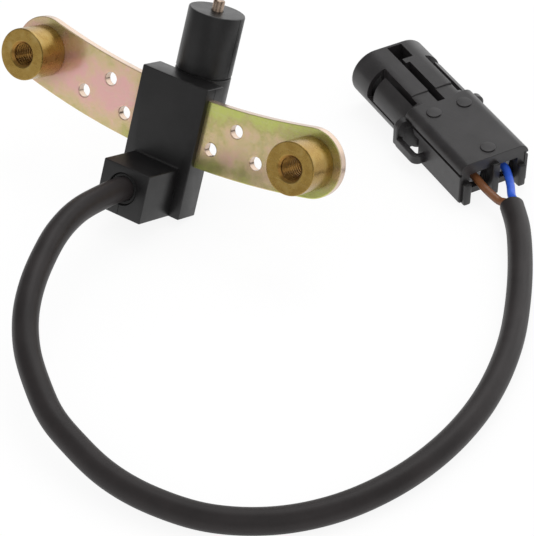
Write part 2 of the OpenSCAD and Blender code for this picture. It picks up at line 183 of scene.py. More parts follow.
def evaluated(holder):
    """A plain mesh of what an object's curve or modifiers make."""
    bpy.context.view_layer.update()
    return bpy.data.meshes.new_from_object(holder.evaluated_get(bpy.context.evaluated_depsgraph_get()))


def plate(outlines, thick, edge):
    """A flat plate with holes and softly rolled edges, about its mid plane."""
    curve = bpy.data.curves.new("plate", "CURVE")
    curve.dimensions = "2D"
    curve.fill_mode = "BOTH"
    curve.extrude = thick / 2 - edge
    curve.bevel_depth = edge
    curve.bevel_resolution = 2
    curve.offset = -edge
    for outline in outlines:
        spline = curve.splines.new("POLY")
        spline.points.add(len(outline) - 1)
        for point, (x, y) in zip(spline.points, outline):
            point.co = (x, y, 0, 1)
        spline.use_cyclic_u = True
    holder = bpy.data.objects.new("plate", curve)
    scene.collection.objects.link(holder)
    mesh = evaluated(holder)
    bpy.data.objects.remove(holder)
    bpy.data.curves.remove(curve)
    shape = bmesh.new()
    shape.from_mesh(mesh)
    bmesh.ops.remove_doubles(shape, verts=shape.verts, dist=1e-4)
    bmesh.ops.recalc_face_normals(shape, faces=shape.faces)
    shape.to_mesh(mesh)
    shape.free()
    return mesh


def piece(name, mesh, place, finish, sharp=22):
    """A finished mesh set in its place, with its finish on it."""
    mesh.name = name
    mesh.validate()
    mesh.transform(place)
    mesh.materials.clear()
    mesh.materials.append(finish)
    mesh.shade_smooth()
    mesh.set_sharp_from_angle(angle=math.radians(sharp))
    made = bpy.data.objects.new(name, mesh)
    scene.collection.objects.link(made)
    return made


def effect(name, inputs, outputs):
    """An empty shader group with its sockets; gives the tree and both ends."""
    tree = bpy.data.node_groups.new(name, "ShaderNodeTree")
    for socket, value in inputs.items():
        kind = "NodeSocketVector" if value is None else "NodeSocketFloat"
        made = tree.interface.new_socket(name=socket, in_out="INPUT", socket_type=kind)
        if value is not None:
            made.default_value = value
    for socket in outputs:
        tree.interface.new_socket(name=socket, in_out="OUTPUT", socket_type="NodeSocketFloat")
    return tree, tree.nodes.new("NodeGroupInput"), tree.nodes.new("NodeGroupOutput")


def noise(tree, place, scale, detail, rough=0.5):
    """Soft random clouds, as a value about one half."""
    return put(tree, "ShaderNodeTexNoise", {"Vector": place, "Scale": scale, "Detail": detail,
               "Roughness": rough}).outputs[0]


# Scuffs and cloudy marks from handling, for the metals and the mouldings.
handling, given, result = effect("handling_marks", {"Vector": None, "Size": 0.006}, ["Cloud", "Scratch"])
place = given.outputs["Vector"]
cloud = noise(handling, place, reckon(handling, "DIVIDE", 1.0, given.outputs["Size"]), 4.0, 0.6)
drawn = put(handling, "ShaderNodeMapping", {"Vector": place, "Rotation": (0.3, 0.5, 0.4), "Scale": (18, 260, 260)})
scratch = eased(handling, noise(handling, drawn.outputs[0], 9.0, 3.0), 0.58, 0.8)
handling.links.new(cloud, result.inputs["Cloud"])
handling.links.new(scratch, result.inputs["Scratch"])


def finish_start(name):
    """A new material with its shader, and the row's own coordinates."""
    finish = bpy.data.materials.new(name)
    finish.use_nodes = True
    tree = finish.node_tree
    tree.nodes.clear()
    shader = put(tree, "ShaderNodeBsdfPrincipled")
    put(tree, "ShaderNodeOutputMaterial", {"Surface": shader.outputs[0]})
    return finish, tree, shader, put(tree, "ShaderNodeTexCoord").outputs["Object"]


def use_effect(tree, group, inputs):
    """A shared effect placed in a material with its own values."""
    return put(tree, "ShaderNodeGroup", inputs, node_tree=group)


def ramp(tree, value, stops):
    """Colours along a value, from a list of (place, colour)."""
    node = put(tree, "ShaderNodeValToRGB", {"Fac": value})
    bar = node.color_ramp.elements
    while len(bar) < len(stops):
        bar.new(0.5)
    for element, (place, colour) in zip(bar, stops):
        element.position = place
        element.color = (*colour, 1)
    return node.outputs["Color"]


def blend_colour(tree, share, first, second):
    """The first colour, going over to the second one with the share."""
    return put(tree, "ShaderNodeMix", {0: share, 6: first, 7: (*second, 1)}, data_type="RGBA").outputs[2]


def dulled(tree, shader, value, bright, dull):
    """Roughness that drifts between two levels with a cloudy value."""
    tree.links.new(eased(tree, value, 0.3, 0.7, bright, dull), shader.inputs["Roughness"])


def relief(tree, shader, height, depth, strength):
    """Fine height on the surface, its depth in metres."""
    bump = put(tree, "ShaderNodeBump", {"Height": height, "Distance": depth, "Strength": strength})
    tree.links.new(bump.outputs[0], shader.inputs["Normal"])


PINK, ROSE, STRAW = (0.87, 0.50, 0.47), (0.83, 0.55, 0.41), (0.74, 0.58, 0.32)
OLIVE, LIME = (0.57, 0.51, 0.20), (0.60, 0.64, 0.18)
# Of these colours, the dark brown one is painted shade and a painted reflection of the bushes, laid on the strip near
# other parts.
BRIGHT_SPECK, RUBBED, PAINTED_SHADE_BROWN, SHEARED = (0.66, 0.58, 0.42), (0.74, 0.66, 0.54), (0.17, 0.12, 0.045), (0.62, 0.48, 0.38)
STRIP_MIDDLE, BESIDE_BODY, STRIP_FRONT = 0.0221, 0.0135, (0.0, -0.9397, 0.342)
zinc, tree, shader, spot = finish_start("passivated_zinc")
upright = put(tree, "ShaderNodeVectorRotate", {"Vector": spot, "Axis": (1, 0, 0), "Angle": math.radians(LEAN)})
flat = put(tree, "ShaderNodeSeparateXYZ", {0: upright.outputs[0]})
length, height = flat.outputs["X"], flat.outputs["Z"]
bow = reckon(tree, "MULTIPLY_ADD", reckon(tree, "MULTIPLY", length, length), -500 / STRIP_R, height)
off_middle = reckon(tree, "ABSOLUTE", reckon(tree, "SUBTRACT", bow, STRIP_MIDDLE))
off_body = reckon(tree, "ABSOLUTE", reckon(tree, "SUBTRACT", length, BESIDE_BODY))
depth = eased(tree, noise(tree, spot, 75.0, 4.0, 0.55), 0.32, 0.68, 0.0, 0.55)
for part in (eased(tree, off_middle, 0.003, 0.0095, 0.0, 0.42, "SMOOTHSTEP"),
             eased(tree, length, -0.02, 0.05, -0.24, 0.26),
             eased(tree, off_body, 0.002, 0.01, 0.3, 0.0),
             eased(tree, noise(tree, spot, 330.0, 5.0, 0.65), 0.35, 0.65, -0.14, 0.14)):
    depth = reckon(tree, "ADD", depth, part)
film = ramp(tree, depth, [(0.0, PINK), (0.2, ROSE), (0.46, STRAW), (0.68, OLIVE), (0.95, LIME)])
speck = noise(tree, spot, 1400.0, 3.0, 0.7)
marks = use_effect(tree, handling, {"Vector": spot, "Size": 0.004})
# Painted shade and a painted brown reflection of the bushes: an AO node darkens the strip's colour to dark brown near
# the bushes and the body.
shade_near_parts = put(tree, "ShaderNodeAmbientOcclusion", {"Distance": 0.007}, samples=12)
facing = along(tree, put(tree, "ShaderNodeNewGeometry").outputs["Normal"], STRIP_FRONT)
film = blend_colour(tree, eased(tree, speck, 0.45, 0.75, 0.0, 0.35), film, BRIGHT_SPECK)
film = blend_colour(tree, reckon(tree, "MULTIPLY", marks.outputs["Scratch"], 0.3), film, RUBBED)
film = blend_colour(tree, eased(tree, shade_near_parts.outputs["AO"], 0.92, 0.5, 0.0, 0.35), film, PAINTED_SHADE_BROWN)
film = blend_colour(tree, eased(tree, reckon(tree, "ABSOLUTE", facing), 0.85, 0.35), film, SHEARED)
tree.links.new(film, shader.inputs["Base Color"])
shader.inputs["Metallic"].default_value = 0.8
dulled(tree, shader, marks.outputs["Cloud"], 0.17, 0.27)
relief(tree, shader, speck, 1.5e-5, 0.35)

outlines = [strip_outline()]
for side in (-1, 1):
    outlines.append(ring_points(side * BUSH_X, 0, SPIGOT_R))
    outlines += [ring_points(side * x, z, r) for x, z, r in STRIP_HOLES]
STAND = Matrix.Translation((0, STRIP_T / 2, 0)) @ Matrix.Rotation(math.radians(90), 4, "X")
strip = piece("bracket_strip", plate(outlines, STRIP_T, STRIP_EDGE), SENSOR @ STAND, zinc, 12)
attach(strip, "root")
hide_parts("bracket")

# Bushes: turned from brass bar, tapped through for a 7 mm screw, with a spigot
# that is riveted over behind the strip.
BUSH_R, BUSH_L, BUSH_CHAMFER, RIVET_R, RIVET_T = 7.0, 9.8, 0.25, 5.7, 0.5
CORE_R, MAJOR_R, PITCH, MOUTH_R = 3.0, 3.45, 1.0, 3.7
BUSH_END = RIVET_T + STRIP_T + BUSH_L
THREAD_END = BUSH_END - (MOUTH_R - CORE_R)


def solid_mesh(shape):
    """A plain mesh of a finished bmesh, which is let go."""
    mesh = bpy.data.meshes.new("solid")
    shape.to_mesh(mesh)
    shape.free()
    return mesh


def spun(rings):
    """Rings of (radius, height) points about one axis, closed into a solid."""
    sides = len(rings[0])
    shape = bmesh.new()
    loops = []
    for ring in rings:
        on_axis = ring[0][0] < 1e-6
        loops.append([shape.verts.new((radius * math.cos(2 * math.pi * k / sides),
                                       radius * math.sin(2 * math.pi * k / sides), height))
                      for k, (radius, height) in enumerate(ring[:1] if on_axis else ring)])
    for first, second in zip(loops, loops[1:] + loops[:1]):
        for k in range(sides):
            corners = [first[k % len(first)], first[(k + 1) % len(first)],
                       second[(k + 1) % len(second)], second[k % len(second)]]
            corners = list(dict.fromkeys(corners))
            if len(corners) > 2:
                shape.faces.new(corners)
    bmesh.ops.recalc_face_normals(shape, faces=shape.faces)
    return solid_mesh(shape)


def turned(profile, sides=72):
    """A closed outline of (radius, height) turned about its own axis."""
    return spun([[point] * sides for point in profile])


def bush_mesh(sides=72, rows_per_turn=10):
    """The turned outside of a bush, and the helix cut into its bore."""
    outside = [(RIVET_R - 0.9, 0.0), (RIVET_R - 0.25, 0.1), (RIVET_R, 0.35), (RIVET_R, RIVET_T),
               (SPIGOT_R, RIVET_T), (SPIGOT_R, RIVET_T + STRIP_T), (BUSH_R - 0.1, RIVET_T + STRIP_T),
               (BUSH_R, RIVET_T + STRIP_T + 0.1), (BUSH_R, BUSH_END - BUSH_CHAMFER),
               (BUSH_R - 0.07, BUSH_END - 0.07), (BUSH_R - BUSH_CHAMFER, BUSH_END), (MOUTH_R + 0.1, BUSH_END),
               (MOUTH_R - 0.05, BUSH_END - 0.08)]
    rows = int(THREAD_END / PITCH * rows_per_turn)
    rings = [[point] * sides for point in outside]
    for row in range(rows, -1, -1):
        height = THREAD_END * row / rows
        fade = min(1.0, row / rows_per_turn, (rows - row) / rows_per_turn)
        ring = []
        for k in range(sides):
            phase = (height / PITCH - k / sides) % 1.0
            depth = max(0.0, min(1.0, 1.6 - abs(phase - 0.5) * 4.4))
            ring.append((CORE_R + (MAJOR_R - CORE_R) * depth * fade, height))
        rings.append(ring)
    rings.append([(CORE_R + 0.35, 0.0)] * sides)
    return spun(rings)


DEEP_BRASS, BRASS, PALE_BRASS = (0.30, 0.18, 0.041), (0.38, 0.245, 0.065), (0.45, 0.325, 0.12)
WORN_BRASS, SHADED_BORE_BRASS, BUSH_HEIGHT = (0.60, 0.46, 0.22), (0.34, 0.18, 0.045), 0.026815
brass, tree, shader, spot = finish_start("turned_brass")
marks = use_effect(tree, handling, {"Vector": spot, "Size": 0.003})
tone = ramp(tree, marks.outputs["Cloud"], [(0.3, DEEP_BRASS), (0.55, BRASS), (0.75, PALE_BRASS)])
tone = blend_colour(tree, reckon(tree, "MULTIPLY", marks.outputs["Scratch"], 0.3), tone, WORN_BRASS)
lathe = put(tree, "ShaderNodeVectorRotate", {"Vector": spot, "Axis": (1, 0, 0), "Angle": math.radians(LEAN)})
aside = put(tree, "ShaderNodeSeparateXYZ", {0: lathe.outputs[0]})
off_axis = put(tree, "ShaderNodeCombineXYZ", {
    "X": reckon(tree, "SUBTRACT", reckon(tree, "ABSOLUTE", aside.outputs["X"]), BUSH_X / 1000),
    "Z": reckon(tree, "SUBTRACT", aside.outputs["Z"], BUSH_HEIGHT)})
off_axis = put(tree, "ShaderNodeVectorMath", {0: off_axis.outputs[0]}, operation="LENGTH")
# Painted shade: the brass colour goes over to a dark brown inside the tapped bore, where the bore lies in shade.
bore = eased(tree, off_axis.outputs["Value"], 0.00372, 0.0034, 0.0, 1.0, "SMOOTHSTEP")
tree.links.new(blend_colour(tree, bore, tone, SHADED_BORE_BRASS), shader.inputs["Base Color"])
shader.inputs["Metallic"].default_value = 0.92
dulled(tree, shader, marks.outputs["Cloud"], 0.22, 0.34)
feed = put(tree, "ShaderNodeTexWave", {"Vector": lathe.outputs[0], "Scale": 1100.0, "Distortion": 0.4,
           "Detail": 2.0}, wave_type="BANDS", bands_direction="Y")
relief(tree, shader, feed.outputs["Fac"], 8e-6, 0.3)

for name, side, node in (("bush_left", -1, "left_bush"), ("bush_right", 1, "right_bush")):
    seat = Matrix.Translation((side * BUSH_X, STRIP_T + RIVET_T, 0)) @ Matrix.Rotation(math.radians(90), 4, "X")
    bush = piece(name, bush_mesh(), SENSOR @ seat, brass, 18)
    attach(bush, "root")
    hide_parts(node)

# Coil pack: a magnet behind an iron pole, both in a nylon spool that carries
# the copper winding. Two tinned strips take its ends down to the cable.
BARREL_AXIS = Matrix.Translation((0, 11.5, 0))
HEAD = SENSOR @ BARREL_AXIS
HEAD_LOW, COIL_LOW, COIL_TOP, SPOOL_TOP = -4.0, 6.0, 21.8, 23.2
SPOOL_R, SPOOL_CORE, COIL_R, MAGNET_R, MAGNET_TOP, POLE_R = 5.6, 2.5, 5.2, 4.0, 4.6, 1.55
POLE_TOP = 28.0

# Fine grain of a spark-eroded mould, with a faint slow change of tone.
grain, given, result = effect("mould_grain", {"Vector": None, "Grain": 0.0002}, ["Height", "Tone"])
place = given.outputs["Vector"]
pits = noise(grain, place, reckon(grain, "DIVIDE", 1.0, given.outputs["Grain"]), 3.0, 0.65)
grain.links.new(pits, result.inputs["Height"])
grain.links.new(noise(grain, place, 160.0, 3.0), result.inputs["Tone"])


def moulded(name, dark, light, gloss, grain_size, depth):
    """A moulded or rubbery finish: two tones, a range of gloss and its grain."""
    finish, tree, shader, spot = finish_start(name)
    skin = use_effect(tree, grain, {"Vector": spot, "Grain": grain_size})
    marks = use_effect(tree, handling, {"Vector": spot, "Size": 0.005})
    tone = ramp(tree, skin.outputs["Tone"], [(0.35, dark), (0.68, light)])
    worn = reckon(tree, "MULTIPLY", marks.outputs["Scratch"], 0.35)
    pale = tuple(min(1.0, c * 1.6 + 0.004) for c in light)
    tree.links.new(blend_colour(tree, worn, tone, pale), shader.inputs["Base Color"])
    dulled(tree, shader, marks.outputs["Cloud"], *gloss)
    relief(tree, shader, skin.outputs["Height"], depth, 0.6)
    return finish


def metal(name, dark, light, gloss, streak, depth):
    """A bare or tinned metal with drawn streaks across the given scales."""
    finish, tree, shader, spot = finish_start(name)
    marks = use_effect(tree, handling, {"Vector": spot, "Size": 0.002})
    tree.links.new(ramp(tree, marks.outputs["Cloud"], [(0.3, dark), (0.7, light)]), shader.inputs["Base Color"])
    shader.inputs["Metallic"].default_value = 1.0
    dulled(tree, shader, marks.outputs["Cloud"], *gloss)
    lines = put(tree, "ShaderNodeMapping", {"Vector": spot, "Scale": streak})
    relief(tree, shader, noise(tree, lines.outputs[0], 1.0, 3.0), depth, 0.5)
    return finish


pole_steel = metal("pole_steel", (0.26, 0.18, 0.13), (0.48, 0.38, 0.30), (0.2, 0.34), (4000, 4000, 500), 2e-5)
nylon = moulded("spool_nylon", (0.60, 0.55, 0.44), (0.72, 0.68, 0.57), (0.42, 0.55), 0.0003, 2e-5)
ferrite = moulded("magnet_ferrite", (0.10, 0.10, 0.11), (0.16, 0.16, 0.17), (0.5, 0.65), 0.0002, 4e-5)
tinned = metal("lead_tin", (0.55, 0.50, 0.38), (0.70, 0.65, 0.52), (0.28, 0.42), (1500, 1500, 300), 2e-5)
copper = metal("coil_copper", (0.45, 0.17, 0.06), (0.60, 0.26, 0.11), (0.22, 0.32), (300, 300, 3000), 2e-5)

pole = piece("pole", turned([(0, MAGNET_TOP), (POLE_R, MAGNET_TOP), (POLE_R, POLE_TOP - 0.45),
             (POLE_R - 0.1, POLE_TOP - 0.18), (POLE_R - 0.38, POLE_TOP), (0, POLE_TOP)]), HEAD, pole_steel)
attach(pole, "root")
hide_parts("pole_pin")

spool = piece("coil_spool", turned([(MAGNET_R, HEAD_LOW), (SPOOL_R - 0.15, HEAD_LOW), (SPOOL_R, HEAD_LOW + 0.15),
              (SPOOL_R, COIL_LOW), (SPOOL_CORE, COIL_LOW), (SPOOL_CORE, COIL_TOP), (SPOOL_R, COIL_TOP),
              (SPOOL_R, SPOOL_TOP - 0.15), (SPOOL_R - 0.15, SPOOL_TOP), (POLE_R, SPOOL_TOP), (POLE_R, MAGNET_TOP),
              (MAGNET_R, MAGNET_TOP)]), HEAD, nylon)
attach(spool, "root")
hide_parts("bobbin")

TURNS = 36
turn_h = (COIL_TOP - COIL_LOW) / TURNS
winding = [(SPOOL_CORE, COIL_LOW)]
for i in range(TURNS):
    for part, out in ((0.08, -0.16), (0.3, -0.03), (0.5, 0.0), (0.7, -0.03), (0.92, -0.16)):
        winding.append((COIL_R + out, COIL_LOW + turn_h * (i + part)))
winding.append((SPOOL_CORE, COIL_TOP))
coil = piece("coil_winding", turned(winding, 48), HEAD, copper, 60)
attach(coil, "root")
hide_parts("coil")

magnet = piece("magnet_slug", turned([(0, HEAD_LOW), (MAGNET_R - 0.2, HEAD_LOW), (MAGNET_R, HEAD_LOW + 0.2),
               (MAGNET_R, MAGNET_TOP - 0.2), (MAGNET_R - 0.2, MAGNET_TOP), (0, MAGNET_TOP)]), HEAD, ferrite)
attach(magnet, "root")
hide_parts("magnet")

for node in ("left_lead", "right_lead"):
    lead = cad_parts[node]
    lead.data.materials.clear()
    lead.data.materials.append(tinned)

# Barrel: a black moulded tube, closed at its tip but for the pole, pushed over
# the coil pack. A step leaves a dark seam where it meets the body.
TUBE_R, TUBE_TOP, TUBE_SPIGOT_R, TUBE_BORE_R = 7.6, 25.0, 6.5, 5.7
SEAM_LOW, SEAM_TOP, NECK_R = 8.0, 8.6, 7.1
PART_LINE = 0.16


def soft_box(low, high, edge=0.3, steps=2):
    """A block between two corners with all its edges rounded."""
    shape = bmesh.new()
    bmesh.ops.create_cube(shape, size=1)
    for vertex in shape.verts:
        vertex.co = [a + (c + 0.5) * (b - a) for a, b, c in zip(low, high, vertex.co)]
    if edge:
        bmesh.ops.bevel(shape, geom=shape.edges[:], offset=edge, segments=steps, profile=0.5, affect="EDGES",
                        clamp_overlap=True)
    return solid_mesh(shape)


def moved(mesh, place):
    """A mesh set in its place."""
    mesh.transform(place)
    return mesh


def built(main, joined=(), cut=()):
    """Solids joined to the first one, and then others cut out of it."""
    holders = []
    for mesh in (main, *joined, *cut):
        holders.append(bpy.data.objects.new("solid", mesh))
        scene.collection.objects.link(holders[-1])
    for i, holder in enumerate(holders[1:]):
        step = holders[0].modifiers.new("step", "BOOLEAN")
        step.operation = "UNION" if i < len(joined) else "DIFFERENCE"
        step.solver = "EXACT"
        step.object = holder
    mesh = evaluated(holders[0])
    for holder in holders:
        used = holder.data
        bpy.data.objects.remove(holder)
        bpy.data.meshes.remove(used)
    return mesh


BLACK, WORN_BLACK = (0.0035, 0.0032, 0.0034), (0.007, 0.0065, 0.0068)
barrel_black = moulded("barrel_plastic", BLACK, WORN_BLACK, (0.34, 0.44), 0.00025, 3e-5)
tube_outline = [(TUBE_BORE_R, HEAD_LOW), (TUBE_SPIGOT_R, HEAD_LOW), (TUBE_SPIGOT_R, SEAM_LOW), (NECK_R, SEAM_LOW),
                (NECK_R, SEAM_TOP), (TUBE_R - 0.15, SEAM_TOP), (TUBE_R, SEAM_TOP + 0.15), (TUBE_R, TUBE_TOP - 0.4),
                (TUBE_R - 0.1, TUBE_TOP - 0.13), (TUBE_R - 0.38, TUBE_TOP), (POLE_R + 0.2, TUBE_TOP),
                (POLE_R, TUBE_TOP - 0.2), (POLE_R, SPOOL_TOP), (TUBE_BORE_R, SPOOL_TOP)]
part_lines = [soft_box((side * TUBE_R - 0.1, -PART_LINE / 2, SEAM_TOP - 0.2),
                       (side * TUBE_R + 0.3, PART_LINE / 2, TUBE_TOP + 0.3), 0) for side in (-1, 1)]
barrel = piece("barrel_tube", built(turned(tube_outline, 112), (), part_lines), HEAD, barrel_black)
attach(barrel, "root")
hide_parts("barrel")

# Body: one black moulding shot round the strip, the barrel's spigot, the leads
# and the cable. Its slab carries a cable block in front and a column behind.
SLAB_LOW, SLAB_HIGH = (-10.5, -1.8, -28.6), (10.5, 6.1, 8.0)
BLOCK_LOW, BLOCK_HIGH, BLOCK_FILLET = (-7.35, -15.3, -28.6), (7.35, 0.5, -15.2), 0.5
COLUMN_LOW, BODY_EDGE, CUT_LEAD = -9.0, 0.35, 0.7
CABLE_HALF, CABLE_Z, CABLE_IN, GROMMET_R, GROMMET_L, GROMMET_BACK = 3.25, -21.3, -4.5, 4.2, 3.6, 0.4
TO_Y = Matrix.Rotation(math.radians(-90), 4, "X")


def prism(outline, start, end, along="X", edge=0.0):
    """A flat outline drawn out along one axis, with its end edges softened."""
    shape = bmesh.new()
    layers = []
    for level in (start, end):
        if along == "X":
            layers.append([shape.verts.new((level, a, b)) for a, b in outline])
        elif along == "Y":
            layers.append([shape.verts.new((a, level, b)) for a, b in outline])
        else:
            layers.append([shape.verts.new((a, b, level)) for a, b in outline])
    ends = [shape.faces.new(layer) for layer in layers]
    for k in range(len(outline)):
        n = (k + 1) % len(outline)
        shape.faces.new((layers[0][k], layers[0][n], layers[1][n], layers[1][k]))
    bmesh.ops.recalc_face_normals(shape, faces=shape.faces)
    if edge:
        rims = [e for f in ends for e in f.edges]
        bmesh.ops.bevel(shape, geom=rims, offset=edge, segments=2, profile=0.5, affect="EDGES", clamp_overlap=True)
    return solid_mesh(shape)


body_black = moulded("body_plastic", BLACK, WORN_BLACK, (0.32, 0.42), 0.0003, 4e-5)
front, top = SLAB_LOW[1], BLOCK_HIGH[2]
fillet = [(front + 0.3, top - 0.3), (front - BLOCK_FILLET, top - 0.3)]
for i in range(9):
    a = math.radians(-90 + 90 * i / 8)
    fillet.append((front - BLOCK_FILLET + BLOCK_FILLET * math.cos(a),
                   top + BLOCK_FILLET + BLOCK_FILLET * math.sin(a)))
fillet.append((front + 0.3, top + BLOCK_FILLET))
column = turned([(0, COLUMN_LOW), (TUBE_R - 0.5, COLUMN_LOW), (TUBE_R - 0.12, COLUMN_LOW + 0.16),
                 (TUBE_R, COLUMN_LOW + 0.5), (TUBE_R, SEAM_LOW - 0.15), (TUBE_R - 0.15, SEAM_LOW), (0, SEAM_LOW)], 112)
lead_line = [(7.1, -3.5), (7.1, -7), (4.7, -7), (4.7, -21.7), (-5, -21.7), (-5, -20.9), (3.9, -20.9), (3.9, -6.2),
             (6.3, -6.2), (6.3, -3.5)]
mouth_r = GROMMET_R + 0.25
ring_end, cable_stop = CUT_LEAD + GROMMET_BACK + GROMMET_L, CUT_LEAD + CABLE_IN - BLOCK_LOW[1]
cable_way = moved(turned([(0, 0), (mouth_r, 0), (mouth_r, CUT_LEAD), (GROMMET_R, CUT_LEAD + 0.25),
                          (GROMMET_R, ring_end), (CABLE_HALF, ring_end), (CABLE_HALF, cable_stop),
                          (0, cable_stop)], 48),
                  Matrix.Translation((0, BLOCK_LOW[1] - CUT_LEAD, CABLE_Z)) @ TO_Y)
socket = moved(turned([(0, HEAD_LOW), (TUBE_SPIGOT_R, HEAD_LOW), (TUBE_SPIGOT_R, SEAM_LOW + 1), (0, SEAM_LOW + 1)],
                      112), BARREL_AXIS)
seams = [soft_box((-PART_LINE / 2, BLOCK_LOW[1] - 0.4, -29), (PART_LINE / 2, BLOCK_LOW[1] + 0.12, -25.2), 0)]
seams += [soft_box((side * SLAB_HIGH[0] - 0.1, 2.02, 4.2), (side * SLAB_HIGH[0] + 0.3, 2.02 + PART_LINE, 8.4), 0)
          for side in (-1, 1)]
body = built(soft_box(SLAB_LOW, SLAB_HIGH, BODY_EDGE, 3),
             [soft_box(BLOCK_LOW, BLOCK_HIGH, BODY_EDGE, 3), prism(fillet, -7.1, 7.1), moved(column, BARREL_AXIS)],
             [prism(strip_outline(), 0, STRIP_T, "Y"), socket, cable_way,
              prism(lead_line, -2.6, -1.4), prism(lead_line, 1.4, 2.6), *seams])
body = piece("sensor_body", body, SENSOR, body_black)
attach(body, "root")
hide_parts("body")

# Grommet: a soft black rubber ring, moulded to size and pushed over the cable.
# It sits just inside the block and seals the cable's way out.
rubber = moulded("grommet_rubber", (0.006, 0.006, 0.006), (0.012, 0.012, 0.012), (0.55, 0.7), 0.0002, 3e-5)
ring = turned([(CABLE_HALF, 0.12), (CABLE_HALF + 0.15, 0), (GROMMET_R - 0.2, 0), (GROMMET_R, 0.2),
               (GROMMET_R, GROMMET_L), (CABLE_HALF, GROMMET_L)])
grommet = piece("cable_grommet", ring, SENSOR @ Matrix.Translation(
    (0, BLOCK_LOW[1] + GROMMET_BACK, CABLE_Z)) @ TO_Y, rubber)
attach(grommet, "root")
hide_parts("grommet")

# Cable: two cores in one round black sheath, moulded fast into the body. It
# leaves straight, comes down to the table in one loop and lies there.
CABLE_R = CABLE_HALF / 1000
ROUTE = [(0.0, -12.6835, 10.4855), (0.0, -23.7717, 14.5213), (0, -31, 16.4), (0.5, -41, 18.3), (2, -50, 18.8),
         (4.5, -58.5, 18.3), (9, -69.5, 17), (14.5, -79, 15.2), (21.5, -87, 13), (30, -93.5, 10.8),
         (38.5, -98.5, 8.9), (48, -101.5, 7.3), (57, -103.3, 5.9), (65.5, -103.5, 4.9), (74, -102.3, 4.2),
         (82, -100, 3.7), (89, -96.3, 3.4), (95.5, -91.3, 3.3), (101, -85.3, 3.3), (105.7, -78, 3.3),
         (109.3, -69.8, 3.3), (112, -60.5, 3.3), (113.6, -50.3, 3.3), (114, -39.3, 3.3), (113, -27.4, 3.3),
         (110.3, -14.7, 3.3), (106, -1.6, 3.3), (100, 11.7, 3.4), (93, 24.8, 3.8), (85.5, 36.6, 4.6), (79.2, 44, 5.2)]
ROUTE = [Vector(p) * 0.001 for p in ROUTE]

tube_tree = bpy.data.node_groups.new("tube_on_route", "GeometryNodeTree")
face = tube_tree.interface
face.new_socket(name="Route", in_out="INPUT", socket_type="NodeSocketGeometry")
tube_radius = face.new_socket(name="Radius", in_out="INPUT", socket_type="NodeSocketFloat")
tube_sides = face.new_socket(name="Sides", in_out="INPUT", socket_type="NodeSocketInt")
tube_steps = face.new_socket(name="Steps", in_out="INPUT", socket_type="NodeSocketInt")
tube_finish = face.new_socket(name="Finish", in_out="INPUT", socket_type="NodeSocketMaterial")
face.new_socket(name="Tube", in_out="OUTPUT", socket_type="NodeSocketGeometry")
inlet, outlet = tube_tree.nodes.new("NodeGroupInput"), tube_tree.nodes.new("NodeGroupOutput")
smooth = put(tube_tree, "GeometryNodeCurveSplineType", {"Curve": inlet.outputs["Route"]}, spline_type="CATMULL_ROM")
even = put(tube_tree, "GeometryNodeResampleCurve", {"Curve": smooth.outputs[0], "Count": inlet.outputs["Steps"]})
down_line = put(tube_tree, "GeometryNodeSplineParameter")
even = put(tube_tree, "GeometryNodeStoreNamedAttribute", {"Geometry": even.outputs[0], "Name": "run",
           "Value": down_line.outputs["Length"]}, data_type="FLOAT", domain="POINT")
circle = put(tube_tree, "GeometryNodeCurvePrimitiveCircle", {"Resolution": inlet.outputs["Sides"],
             "Radius": inlet.outputs["Radius"]})
across = put(tube_tree, "GeometryNodeInputPosition")
circle = put(tube_tree, "GeometryNodeStoreNamedAttribute", {"Geometry": circle.outputs[0], "Name": "section",
             "Value": across.outputs[0]}, data_type="FLOAT_VECTOR", domain="POINT")
swept = put(tube_tree, "GeometryNodeCurveToMesh", {"Curve": even.outputs[0],
            "Profile Curve": circle.outputs[0], "Fill Caps": True})
real = put(tube_tree, "GeometryNodeRealizeInstances", {"Geometry": swept.outputs[0]})
dressed = put(tube_tree, "GeometryNodeSetMaterial", {"Geometry": real.outputs[0], "Material": inlet.outputs["Finish"]})
tube_tree.links.new(dressed.outputs[0], outlet.inputs[0])


def tube(name, points, radius, sides, steps, finish):
    """A round tube swept along a smooth line through the points."""
    curve = bpy.data.curves.new(name, "CURVE")
    curve.dimensions = "3D"
    spline = curve.splines.new("POLY")
    spline.points.add(len(points) - 1)
    for point, place in zip(spline.points, points):
        point.co = (*place, 1)
    holder = bpy.data.objects.new(name + "_route", curve)
    scene.collection.objects.link(holder)
    sweep = holder.modifiers.new("sweep", "NODES")
    sweep.node_group = tube_tree
    for socket, value in ((tube_radius, radius), (tube_sides, sides), (tube_steps, steps), (tube_finish, finish)):
        sweep[socket.identifier] = value
    mesh = evaluated(holder)
    bpy.data.objects.remove(holder)
    bpy.data.curves.remove(curve)
    shape = bmesh.new()
    shape.from_mesh(mesh)
    bmesh.ops.recalc_face_normals(shape, faces=shape.faces)
    shape.to_mesh(mesh)
    shape.free()
    return mesh


sheath, tree, shader, spot = finish_start("sheath_black")
run_at = put(tree, "ShaderNodeAttribute", attribute_name="run")
section_at = put(tree, "ShaderNodeAttribute", attribute_name="section")
drawn_out = put(tree, "ShaderNodeCombineXYZ", {"Z": reckon(tree, "MULTIPLY", run_at.outputs["Fac"], 0.06)})
skin_at = put(tree, "ShaderNodeVectorMath", {0: section_at.outputs["Vector"], 1: drawn_out.outputs[0]},
              operation="ADD")
streak = noise(tree, skin_at.outputs[0], 900.0, 3.0)
marks = use_effect(tree, handling, {"Vector": spot, "Size": 0.012})
tone = ramp(tree, marks.outputs["Cloud"], [(0.3, (0.016, 0.0135, 0.0135)), (0.7, (0.024, 0.020, 0.020))])
tree.links.new(tone, shader.inputs["Base Color"])
shader.inputs["Specular IOR Level"].default_value = 0.25
dulled(tree, shader, streak, 0.40, 0.50)
relief(tree, shader, streak, 2e-5, 0.5)

